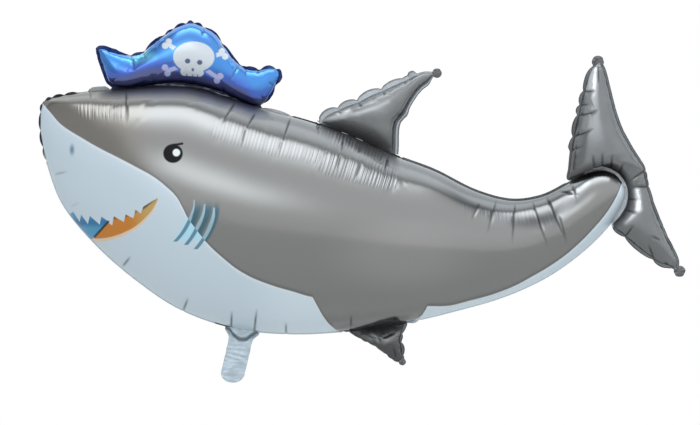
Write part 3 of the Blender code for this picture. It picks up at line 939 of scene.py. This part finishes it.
# Sections across a chamber, in mm: seam point on side A (x, z), seam point on side B (x, z),
# half the thickness, and how far the section bows up between its seam points
body = {
    "sections": (
        (-370, 170, -370, 170, 0, 0), (-352, 177, -374, 150, 13, 0), (-326, 182, -373, 114, 29, 0),
        (-291, 187, -362, 67, 49, 0), (-247, 190, -337, 2, 73, 0), (-191, 195, -286, -61, 97, 0),
        (-128, 194, -221, -119, 117, 0), (-63, 176, -143, -171, 130, 0), (0, 156, -53, -202, 135, 0),
        (66, 138, 40, -211, 133, 0), (135, 114, 135, -206, 125, 0), (206, 82, 226, -193, 111, 0),
        (273, 57, 308, -174, 93, 0), (339, 24, 387, -151, 75, 0), (398, 8, 454, -121, 60, 0),
        (449, 14, 506, -86, 51, 0), (491, 34, 545, -51, 46, 0), (523, 52, 570, -21, 40, 0),
        (549, 58, 585, 5, 31, 0), (571, 51, 588, 24, 18, 0), (581, 38, 581, 38, 0, 0),
    ),
    "rows": (150, 860), "columns": (60, 110), "fill": 0.97, "seed": 1, "sharp": 2.3 * mm,
    "folds": {"pitch": 20 * mm, "depth": 0.12 * mm, "reach": 12 * mm, "lean": 0.5},
    # creases seen on the photo: two pixels, and a depth in mm
    "creases": (
        (126, 92, 126.4, 125, 0.8), (90, 90, 91, 101, 0.5), (234.3, 103.6, 221.4, 124, 0.9),
        (255, 113.6, 245.7, 129.3, 1.0), (246, 128, 240.7, 150, 0.7), (290.3, 118.6, 282.1, 142.1, 1.1),
        (282.4, 141, 277.9, 158, 0.5), (317.9, 117, 318.6, 135, 0.9), (343.6, 140.7, 340.7, 153.6, 0.9),
        (341.2, 155, 336.5, 173, 0.8), (360.7, 146.4, 359.3, 154, 0.7), (361.4, 164, 355, 181, 0.7),
        (387.1, 157.9, 384, 173.5, 1.0), (479, 204, 471, 221, 0.6), (496, 202, 487, 234, 0.8),
        (515, 205, 512, 244, 0.9), (533, 203, 548, 248, 1.0), (547, 198, 566, 241, 1.0),
        (560, 191.5, 581, 195.6, 0.8), (560, 216, 567, 245, 0.7), (572, 186, 577, 203, 0.7),
        (123, 266, 131, 256, 0.95), (183, 311, 188.5, 297, 1.0), (231, 330, 232, 310, 1.0),
        (254, 332, 257, 308, 1.0), (286, 334, 286, 322, 0.9), (351, 330, 351, 314, 1.2),
        (56, 174, 68, 171.6, 0.45), (72, 206, 80, 202, 0.2), (420, 322, 419, 312, 0.3),
        (448, 318, 448, 309, 0.3),
    ),
    "pressure": 16.0, "slack": 0.006, "frames": 14, "cap": 9 * mm, "blown": 0.1,
    "edge": {
        "width": ((0.3, 5.4), (0.3, 4.6)), "soft": (5, 3), "thick": 0.6,
        "least": 0.7, "lean": 0.6, "round": 0.6,
        "notches": (
            (
                (44.5, 98.5), (51.5, 97), (64, 94.5), (78, 92.5), (87, 90), (111, 85.5), (262, 107.5),
                (291, 118.5), (318, 124),
            ),
            ((42, 101), (42, 112), (41.5, 131), (44, 147), (48, 160)),
        ),
        # boxes in photo pixels where the edge is plain, and how many mm wide it is there
        "plain": (
            (38, 94, 45, 104, 0.8), (79, 85, 89, 97, 1.0), (89, 80, 109, 95, 5.5), (92, 80, 106, 95, 7.5),
            (111, 78, 261, 112, 5.0), (293, 115, 315, 126, 2.2), (315, 112, 399, 165, 3.0),
            (403, 150, 566, 205, 3.4), (566, 140, 640, 226, 2.4), (346, 320, 410, 340, 3.0),
            (48, 162, 340, 350, 2.4), (420, 225, 626, 325, 1.8),
        ),
    },
}
hat = {
    "sections": (
        (-281, 256, -281, 256, 0, 0), (-271, 257, -275, 238, 10, 0), (-255, 252, -268, 218, 17, 0),
        (-233, 247, -259, 200, 22, 0), (-211, 248, -236, 193, 26, 0), (-193, 262, -201, 196, 29, 0),
        (-170, 280, -168, 199, 32, 0), (-148, 293, -143, 199, 34, 0), (-128, 299, -120, 196, 35, 0),
        (-109, 294, -97, 191, 34, 0), (-87, 281, -76, 184, 32, 0), (-71, 260, -58, 176, 29, 0),
        (-56, 239, -41, 169, 25, 0), (-36, 225, -23, 164, 21, 0), (-15, 222, -7, 168, 17, 0),
        (4, 225, 4, 182, 13, 0), (16, 221, 12, 197, 8, 0), (19, 211, 19, 211, 0, 0),
    ),
    "rows": (96, 260), "columns": (40, 84), "fill": 0.94, "box": 0.78, "seed": 2, "sharp": 2.0 * mm,
    "folds": {"pitch": 20 * mm, "depth": 0.35 * mm, "reach": 12 * mm, "lean": 0.6},
    "creases": (
        (131, 53, 133.6, 72, 1.8), (239.5, 64, 229, 82, 1.8), (245.5, 66, 247, 79, 1.1),
        (141, 48, 146, 60, 1.0), (161, 30, 166, 44, 0.9), (185, 19, 186, 30, 0.6),
        (204.5, 24, 203, 38, 0.9), (225, 40, 217.5, 52, 1.1), (259, 67, 257, 76, 0.9),
        (110, 84, 118, 76, 1.0), (154, 85, 153, 76, 0.7), (193, 86, 194, 78, 0.7), (225, 95, 221, 84, 0.8),
        (264, 103, 261, 93, 0.9), (274, 86, 268, 82, 0.9),
    ),
    "creaseWidth": 1.5,
    "pressure": 14.0, "slack": 0.008, "frames": 16, "cap": 9 * mm, "blown": 0.6,
    "edge": {
        "width": ((0.5, 6.0), (0.6, 5.0)), "least": 0.55, "lean": 0.6, "round": 0.8,
        "notches": (
            (
                (131, 52), (141, 47), (161.5, 30.5), (171, 24.5), (184.5, 19.5), (195, 19.8), (204.5, 24),
                (225, 40), (243, 64), (259, 66), (277, 66),
            ),
            ((110, 84), (264, 104), (274, 86)),
        ),
        "plain": (
            (122, 76, 262, 112, 1.4), (90, 57, 118, 88, 5.0), (98, 40, 126, 53, 6.0),
            (277, 68, 290, 83, 5.2),
        ),
    },
}
dorsal = {
    "sections": (
        (86, 133, 204, 84, 0, 2), (96, 144, 205, 100, 14, 2), (116, 155, 205, 116, 21, 2),
        (148, 168, 208, 136, 23, 0), (173, 180, 220, 151, 20, 0), (205, 194, 233, 174, 15, 0),
        (233, 207, 247, 193, 9.5, 0), (255, 216, 262, 205, 5.5, 0), (273, 216, 273, 216, 0, 0),
    ),
    "shade": ((312, 116), (330, 119), (345, 120), (362, 124), (378, 131), (390, 134), (404, 134)),
    # painted highlight strokes on the foil: start, end and width in photo pixels, and how bright
    "lit": (
        ((321, 122), (350, 111), 2.8, 0.9), ((350, 111), (362, 105), 2.0, 0.26),
        ((366, 103), (424, 77), 2.5, 0.245), ((328, 121), (345, 116.5), 1.5, 0.85),
        ((345, 116.5), (358, 114), 1.5, 0.55), ((358, 114), (388, 102), 2.5, 0.44),
    ),
    "rows": (74, 170), "columns": (50, 100), "fill": 0.95, "box": 0.72, "seed": 3, "sharp": 2.4 * mm,
    "folds": {"pitch": 26 * mm, "depth": 0.2 * mm, "reach": 10 * mm, "lean": 0.6},
    "creases": (
        (338, 111, 341, 116, 0.4), (358.6, 102.5, 361, 108, 0.8), (383, 91, 385, 96, 0.7),
        (404.5, 81, 405.5, 85, 0.6), (403, 114, 396, 116, 0.9), (401, 124, 396, 136, 0.7),
        (399, 150, 392, 141, 0.8), (320, 122, 331, 124, 0.8),
    ),
    "creaseWidth": 1.4,
    "pressure": 16.0, "slack": 0.005, "frames": 16, "cap": 9 * mm, "blown": 0.4,
    "base": True,
    "edge": {
        "width": ((4.5, 12.4), (7.5, 11.5)), "least": 0.85, "lean": 0.3, "round": 0.6, "soft": (5, 21),
        "plain": ((417, 60, 440, 92, 3.6), (404, 79, 430, 119, 8.0), (386, 119, 410, 160, 11.0)),
        "notches": (
            ((320, 121), (338.5, 110), (358, 102), (382, 91.5), (404.5, 80.5), (419.5, 74), (434, 71)), None,
        ),
    },
}
tail = {
    "sections": (
        (545, 236, 545, 236, 0, 0), (553, 220, 530, 217, 8, 0), (562, 184, 519, 181, 14, 0),
        (570, 153, 512, 151, 19, 0), (580, 125, 505, 120, 24, 0), (590, 106, 500, 91, 27, 0),
        (598, 92, 497, 61, 28, 2), (605, 81, 496, 43, 26, 5), (611, 72, 522, 56, 24, 4),
        (616, 64, 549, 63, 20, 1), (619, 56, 573, 54, 15, 0), (621, 44, 586, 40, 12, 0),
        (624, 30, 592, 24, 11, 0), (629, 13, 590, 2, 13, 0), (634, -3, 580, -17, 16, 0),
        (642, -23, 568, -33, 18, 0), (649, -40, 584, -47, 18, 0), (656, -56, 601, -62, 16.5, 0),
        (663, -69, 620, -77, 13.5, 0), (669, -82, 639, -91, 9.5, 0), (673, -92, 657, -99, 5.5, 0),
        (672, -103, 672, -103, 0, 0),
    ),
    # painted highlight strokes on the foil: start, end and width in photo pixels, and how bright
    "lit": (
        ((593, 70), (590, 93), 8.0, 0.9), ((590, 94), (585, 128), 8.0, 0.42),
        ((580, 132), (576, 150), 7.0, 0.32), ((637, 191), (639, 209), 5.0, 0.8),
        ((633, 215), (626, 223), 3.0, 0.46),
    ),
    "rows": (116, 330), "columns": (44, 80), "fill": 0.94, "box": 0.8, "seed": 4, "sharp": 2.4 * mm,
    "folds": {"pitch": 22 * mm, "depth": 0.25 * mm, "reach": 10 * mm, "lean": 0.5},
    "creases": (
        (584, 91.5, 596, 91, 1.2), (580.5, 105, 590, 104, 0.9), (579, 115.5, 600, 111, 1.3),
        (573, 137, 594, 129, 1.2), (570, 150, 584, 146, 0.8), (594.4, 168, 592.5, 154, 1.0),
        (602.3, 167, 602.5, 152, 1.1), (611, 168.5, 612.5, 154, 1.0), (619, 173, 624, 162, 0.9),
        (646.2, 169.9, 627, 183, 1.6), (649.1, 186.5, 629, 187.5, 1.6), (628.5, 199, 639, 200, 0.8),
        (626.5, 210, 637, 214, 0.9), (625.5, 236, 634, 225, 1.1), (653.7, 259, 648, 243, 1.2),
        (671, 270, 664, 260, 0.9), (598, 66, 599.5, 84, 0.9), (660, 240, 650, 236, 0.7),
    ),
    "creaseWidth": 1.5,
    "pressure": 16.0, "slack": 0.006, "frames": 16, "cap": 9 * mm, "blown": 0.5,
    "edge": {
        "width": ((4.0, 4.6), (2.4, 7.4)), "least": 0.7, "lean": 0.5, "round": 0.6,
        "notches": (((646, 171),), (
            (592, 66), (584, 91.5), (580.5, 105), (579, 116), (573, 137), (570, 160), (567, 182), (609, 229),
            (625.5, 236), (653.7, 259), (671.5, 270),
        )),
        "plain": ((582, 160, 636, 222, 4.6), (562, 140, 572, 182, 3.4)),
    },
}
ventral = {
    "sections": (
        (135, -208, 225, -194, 0, 0), (152, -219, 220, -209, 7, 0), (170, -228, 217, -221, 10, 0),
        (184, -237, 219, -232, 9, 0), (196, -246, 220, -243, 7, 0), (206, -254, 221, -251, 4, 0),
        (216, -258, 216, -258, 0, 0),
    ),
    "shade": ((345, 331), (360, 331), (380, 329), (395, 326), (410, 322)),
    # painted highlight strokes on the foil: start, end and width in photo pixels, and how bright
    "lit": (
        ((372, 334), (378, 341), 1.6, 0.36), ((384, 343), (399, 333), 1.6, 0.30),
        ((354, 331), (372, 341), 1.5, 0.24), ((380, 343), (400, 338), 1.5, 0.20),
    ),
    "rows": (40, 90), "columns": (32, 64), "fill": 0.9, "seed": 5, "sharp": 2.2 * mm,
    "folds": {"pitch": 18 * mm, "depth": 0.5 * mm, "reach": 12 * mm, "lean": 0.6},
    "creases": (
        (369, 336, 379, 340, 0.9), (383, 338, 398, 331, 0.9), (379, 341, 377, 332, 0.7),
        (405, 337, 397, 341, 0.8), (396, 357, 393, 346, 0.8),
    ),
    "creaseWidth": 1.8,
    "pressure": 14.0, "slack": 0.02, "frames": 16, "cap": 8 * mm, "blown": 0.5,
    "base": True,
    "edge": {
        "width": ((0.8, 2.4), (2.2, 6.0)), "notches": (None, None), "least": 0.6, "lean": 0.5, "round": 0.7,
    },
}


def standsFor(piece, nodes):
    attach(piece, "balloon")
    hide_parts(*nodes)


def makeChamber(nodeName, pieceName, wish, filmMaterial, edgeFoil):
    left, film, runs, folds = blowChamber(pieceName, wish)
    left.data.materials.append(filmMaterial)
    right = mirrored(left, pieceName + "RightFilm")
    edge = weldedEdge(pieceName + "WeldedEdge", wish, film, runs, folds, edgeFoil)
    for piece, node in ((left, "left_panel"), (right, "right_panel"), (edge, "seam_rim")):
        standsFor(piece, [f"{nodeName}_{node}"])


tabs = {
    "dorsal_tip_tab": (278, 217, 8.4), "tail_upper_tip_tab": (543, 236, 10.6),
    "tail_lower_tip_tab": (677.5, -109, 10), "ventral_tip_tab": (221, -258, 6.5),
}
tabShape = {"rim": 1.4 * mm, "step": 1.2 * mm, "thick": 1.6 * mm, "uneven": 0.10, "puckers": 7}


def makeTab(node, x, z, radius, material):
    # a round weld at a fin's tip: puckered rim round a flat pressed middle
    bm = bmesh.new()
    bmesh.ops.create_circle(bm, cap_ends=True, segments=36, radius=radius * mm)
    face = bm.faces[:]
    bmesh.ops.inset_region(bm, faces=face, thickness=tabShape["rim"])
    bmesh.ops.inset_region(bm, faces=face, thickness=tabShape["step"])
    for vert in bm.verts:
        far = vert.co.length / (radius * mm)
        turn = math.atan2(vert.co.y, vert.co.x)
        lobe = wavy(math.cos(turn) * 2, math.sin(turn) * 2, x)
        vert.co.xy *= 1 + tabShape["uneven"] * lobe * far
        vert.co.z += (0.6 * lobe + 0.5 * math.sin(tabShape["puckers"] * turn)) * far**3 * mm
    bmesh.ops.solidify(bm, geom=bm.faces[:], thickness=tabShape["thick"])
    bmesh.ops.recalc_face_normals(bm, faces=bm.faces)
    bmesh.ops.rotate(bm, verts=bm.verts, matrix=Matrix.Rotation(math.pi / 2, 3, "X"))
    bmesh.ops.translate(bm, verts=bm.verts, vec=(x * mm, -tabShape["thick"] / 2, z * mm))
    first, *rest = node.split("_")
    piece = placed(first + "".join(word.title() for word in rest), bm)
    softened(piece, 2)
    piece.data.materials.append(material)
    standsFor(piece, [node])


neck = {
    "hinge": (-43, -209.45), "tilt": 9.5, "sway": 5.0, "top": 6, "length": 85, "width": 39, "thick": 2.4,
    "flare": 9, "flareLength": 14, "mouth": 17,  # its wider root and its round mouth
    # painted shade along the fold across its root, in photo pixels
    "foldLine": ((214, 325), (222, 326), (229, 329), (234, 335), (243, 339.5), (251, 335.5), (260, 330)),
}


def makeNeck(material):
    # a limp flattened sleeve with cross folds, round at its mouth
    bm = bmesh.new()
    around, down = 56, 84
    made = bmesh.ops.create_grid(bm, x_segments=around, y_segments=down, size=1)
    order = sorted(made["verts"], key=lambda v: (round(v.co.y, 6), v.co.x))
    half, mouth = neck["width"] / 2, neck["mouth"]
    for i in range(down + 1):
        z = neck["top"] - (neck["top"] + neck["length"]) * i / down
        wide = half
        if z > -neck["flareLength"]:
            wide += neck["flare"] * (1 - math.sin(min(-min(z, 0) / neck["flareLength"], 1) * math.pi / 2))
        if z < mouth - neck["length"]:
            rise = (mouth - neck["length"] - z) / mouth
            wide *= math.sqrt(max(1 - rise * rise, 0))
        wide += 0.6 * wavy(z * 0.12, 3, 0) * min(1, wide / 6)
        for j in range(around + 1):
            turn = 2 * math.pi * j / around
            x = wide * math.cos(turn)
            thick = neck["thick"] / 2 * (1 + 0.5 * wavy(x * 0.08, z * 0.05, 7))
            fold = abs(wavy(x * 0.015 + z * 0.02, z * 0.12, 1)) * 2.2
            fold += wavy(x * 0.05, z * 0.03, 2) * 2.4
            # a sag across the root, where the body pulls the film taut
            sag = math.exp(-(((z + 9 - 5 * (x / half) ** 2) / 2.2) ** 2)) * 2.0
            fade = min(1, max(0, (neck["top"] - z) / 20))
            y = thick * math.sin(turn) + fold * fade + sag
            sway = -neck["sway"] * max(-z / neck["length"], 0) ** 1.5
            order[i * (around + 1) + j].co = Vector((x + sway, y, z)) * mm
    bmesh.ops.remove_doubles(bm, verts=bm.verts, dist=0.02 * mm)
    bmesh.ops.holes_fill(bm, edges=[e for e in bm.edges if e.is_boundary], sides=0)
    bmesh.ops.recalc_face_normals(bm, faces=bm.faces)
    bmesh.ops.rotate(bm, verts=bm.verts, matrix=Matrix.Rotation(math.radians(neck["tilt"]), 3, "Y"))
    root = Vector((neck["hinge"][0], 0, neck["hinge"][1])) * mm
    bmesh.ops.translate(bm, verts=bm.verts, vec=root)
    sleeve = placed("fillerNeck", bm)
    softened(sleeve, 1)
    sleeve.data.materials.append(material)
    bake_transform(sleeve)
    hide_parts("neck_left_film", "neck_right_film")
    print("filler neck made")


def neckMaterial():
    ink = Inks("neck film")
    cloud = ramp(ink.noise(60, 3.0, (1, 1, 3)), 0.35, 0.7)
    ink.tone = ink.colour((0.50, 0.60, 0.67), (0.68, 0.78, 0.85), cloud)
    x, _, z = ink.split(ink.node("TexCoord", output="Object"))
    px = x / photo["pixel"] + photo["origin"][0]
    py = photo["origin"][1] - z / photo["pixel"]
    # painted shade along the fold across the root
    fold = ramp(abs(py - curve(px, neck["foldLine"])), 3.6, 0.6)
    ink.lay((0.06, 0.085, 0.115), fold * 0.85)
    ink.foil(0.3, 0.30)
    ink.bump(ink.noise(220, 2.0, (0.4, 1, 3)), 0.5, 0.8 * mm)
    return ink.owner


studio = {
    "floor": -0.75,
    "floorHalf": 7.5,
    "floorPaint": (0.585, 0.575, 0.555),
    # brightness and coolness by angle: 0 behind the camera, 90 overhead, 180 behind the balloon
    "room": (
        (-180, 1.0, 0), (-90, 0.85, 0), (-30, 0.78, 0), (-6, 0.82, 0.2), (0, 0.90, 0.4), (10, 0.97, 0.6),
        (22, 1.04, 0.8), (45, 1.04, 0.8), (62, 1.02, 0.8), (86, 0.86, 0.8), (89, 0.44, 0.8),
        (92.5, 0.36, 0.8), (95.5, 0.75, 1), (100, 1.05, 1.5), (109, 1.35, 1.8), (119, 1.40, 1.8),
        (127, 0.95, 1.8), (145, 0.95, 1.8), (180, 1.0, 1),
    ),
    # a long softbox overhead and a small soft panel above the camera: light by angle, and by how far aside
    "softbox": (
        (48, 0, 1.5), (56, 0.32, 1.5), (63, 0.9, 1.5), (68, 1.5, 1.5), (73, 1.9, 1.5), (83, 1.95, 1.5),
        (86.5, 1.3, 1.5), (89.5, 0.0, 1.5),
    ),
    "softboxSide": (0.0, 0.46, 0.41),
    "panel": (
        (8, 0, 1.5), (13, 0.38, 1.5), (17, 1.0, 1.5), (22, 1.25, 1.5), (26, 0.9, 1.5), (33, 0.25, 1.5),
        (38, 0, 1.5),
    ),
    "panelSide": (-0.15, 0.42, 0.08),
    "left": (-0.56, -0.42, 0.56, 1.0),  # the room's left side is darker
    "peak": 3.4,
}


def makeFloor():
    bm = bmesh.new()
    bmesh.ops.create_circle(bm, cap_ends=True, segments=96, radius=studio["floorHalf"])
    bmesh.ops.translate(bm, verts=bm.verts, vec=(0.1, 0, studio["floor"]))
    floor = placed("floor", bm)
    paint = Inks("floor paint")
    paint.tone = studio["floorPaint"]
    paint.foil(0.0, 0.8)
    floor.data.materials.append(paint.owner)


def makeRoom():
    # the light of the room, by angle round the balloon's long axis and by how far aside
    room = Inks("studio", "worlds")
    bpy.context.scene.world = room.owner
    x, y, z = room.split(room.node("TexCoord", output="Generated"))
    turn = ramp(room.math("ARCTAN2", z, y * -1.0), -math.pi, math.pi, smooth=False)

    def byAngle(stops):
        made = room.node("ValToRGB", {"Fac": turn}, "Color")
        elements = made.socket.node.color_ramp.elements
        while len(elements) < len(stops):
            elements.new(0.5)
        for element, stop in zip(elements, stops):
            element.position = (stop[0] + 180) / 360
        for element, (_, light, cool) in zip(elements, stops):
            level = light / studio["peak"]
            element.color = (level * (1 - 0.045 * cool), level, level * (1 + 0.035 * cool), 1)
        return made

    whole = room.colour(byAngle(studio["room"]), ramp(x, *studio["left"]), 1.0, "MULTIPLY")
    for title in ("softbox", "panel"):
        middle, none, full = studio[title + "Side"]
        aside = ramp(abs(x - middle), full, none, 1, 0)
        lamp = room.colour(byAngle(studio[title]), aside, 1.0, "MULTIPLY")
        whole = room.colour(whole, lamp, 1.0, "ADD")
    light = room.node("Background", {"Color": whole, "Strength": studio["peak"]})
    white = room.node("Background", {"Color": (1, 1, 1)})
    seen = room.node("LightPath", output="Is Camera Ray")
    shown = room.node("MixShader", {0: seen, 1: light, 2: white})
    room.put(room.tree.nodes["World Output"].inputs["Surface"], shown)


def makeCamera():
    x, z = fromPhoto(photo["size"][0] / 2, photo["size"][1] / 2)
    camera = bpy.data.objects.new("camera", bpy.data.cameras.new("camera"))
    camera.location = (x, -photo["camera"], z)
    camera.rotation_euler = (math.pi / 2, 0, 0)
    frameWidth = photo["size"][0] * photo["pixel"]
    camera.data.lens = camera.data.sensor_width * photo["camera"] / frameWidth
    camera.data.clip_end = 60
    bpy.context.scene.collection.objects.link(camera)
    bpy.context.scene.camera = camera


bpy.context.scene.view_settings.view_transform = "Standard"
makeFloor()
makeRoom()
makeCamera()
print("studio set")
dorsalFoil = plainFoil("dorsal fin foil", (0.30, 0.306, 0.31), 0.3, 0.3, dorsalShelter, dorsal["lit"])
tailFoil = plainFoil("tail fin foil", (0.255, 0.261, 0.265), 0.2, 0.7, tailShelter, tail["lit"])
# the ventral fin's foil is painted much darker than the other fins, standing in for the shade under the body
ventralFoil = plainFoil("ventral fin foil", (0.122, 0.124, 0.124), 0.25, 0.5, ventralShelter, ventral["lit"])
bodyEdge = edgeMaterial("body welded edge", (0.14, 0.15, 0.155), (0.045, 0.05, 0.055), bodyEdgeInkAndLight, 0.5)
blueEdge = edgeMaterial("hat welded edge", (0.010, 0.032, 0.15), (0.006, 0.011, 0.04))
paleEdge = edgeMaterial("dorsal welded edge", (0.50, 0.53, 0.56), (0.13, 0.135, 0.14), trailingFoldShade, fold=0.15)
darkEdge = edgeMaterial("tail welded edge", (0.20, 0.21, 0.215), (0.04, 0.045, 0.05), paleArc)
makeChamber("body", "body", body, bodyMaterial(), bodyEdge)
makeChamber("hat", "hat", hat, hatMaterial(), blueEdge)
makeChamber("dorsal_fin", "dorsalFin", dorsal, dorsalFoil, paleEdge)
makeChamber("tail_fin", "tailFin", tail, tailFoil, darkEdge)
makeChamber("ventral_fin", "ventralFin", ventral, ventralFoil, darkEdge)
tabFoil = plainFoil("fin tip foil", (0.17, 0.175, 0.18), 0.30, amount=0.6)
for tabNode, tabSize in tabs.items():
    makeTab(tabNode, *tabSize, tabFoil)
makeNeck(neckMaterial())
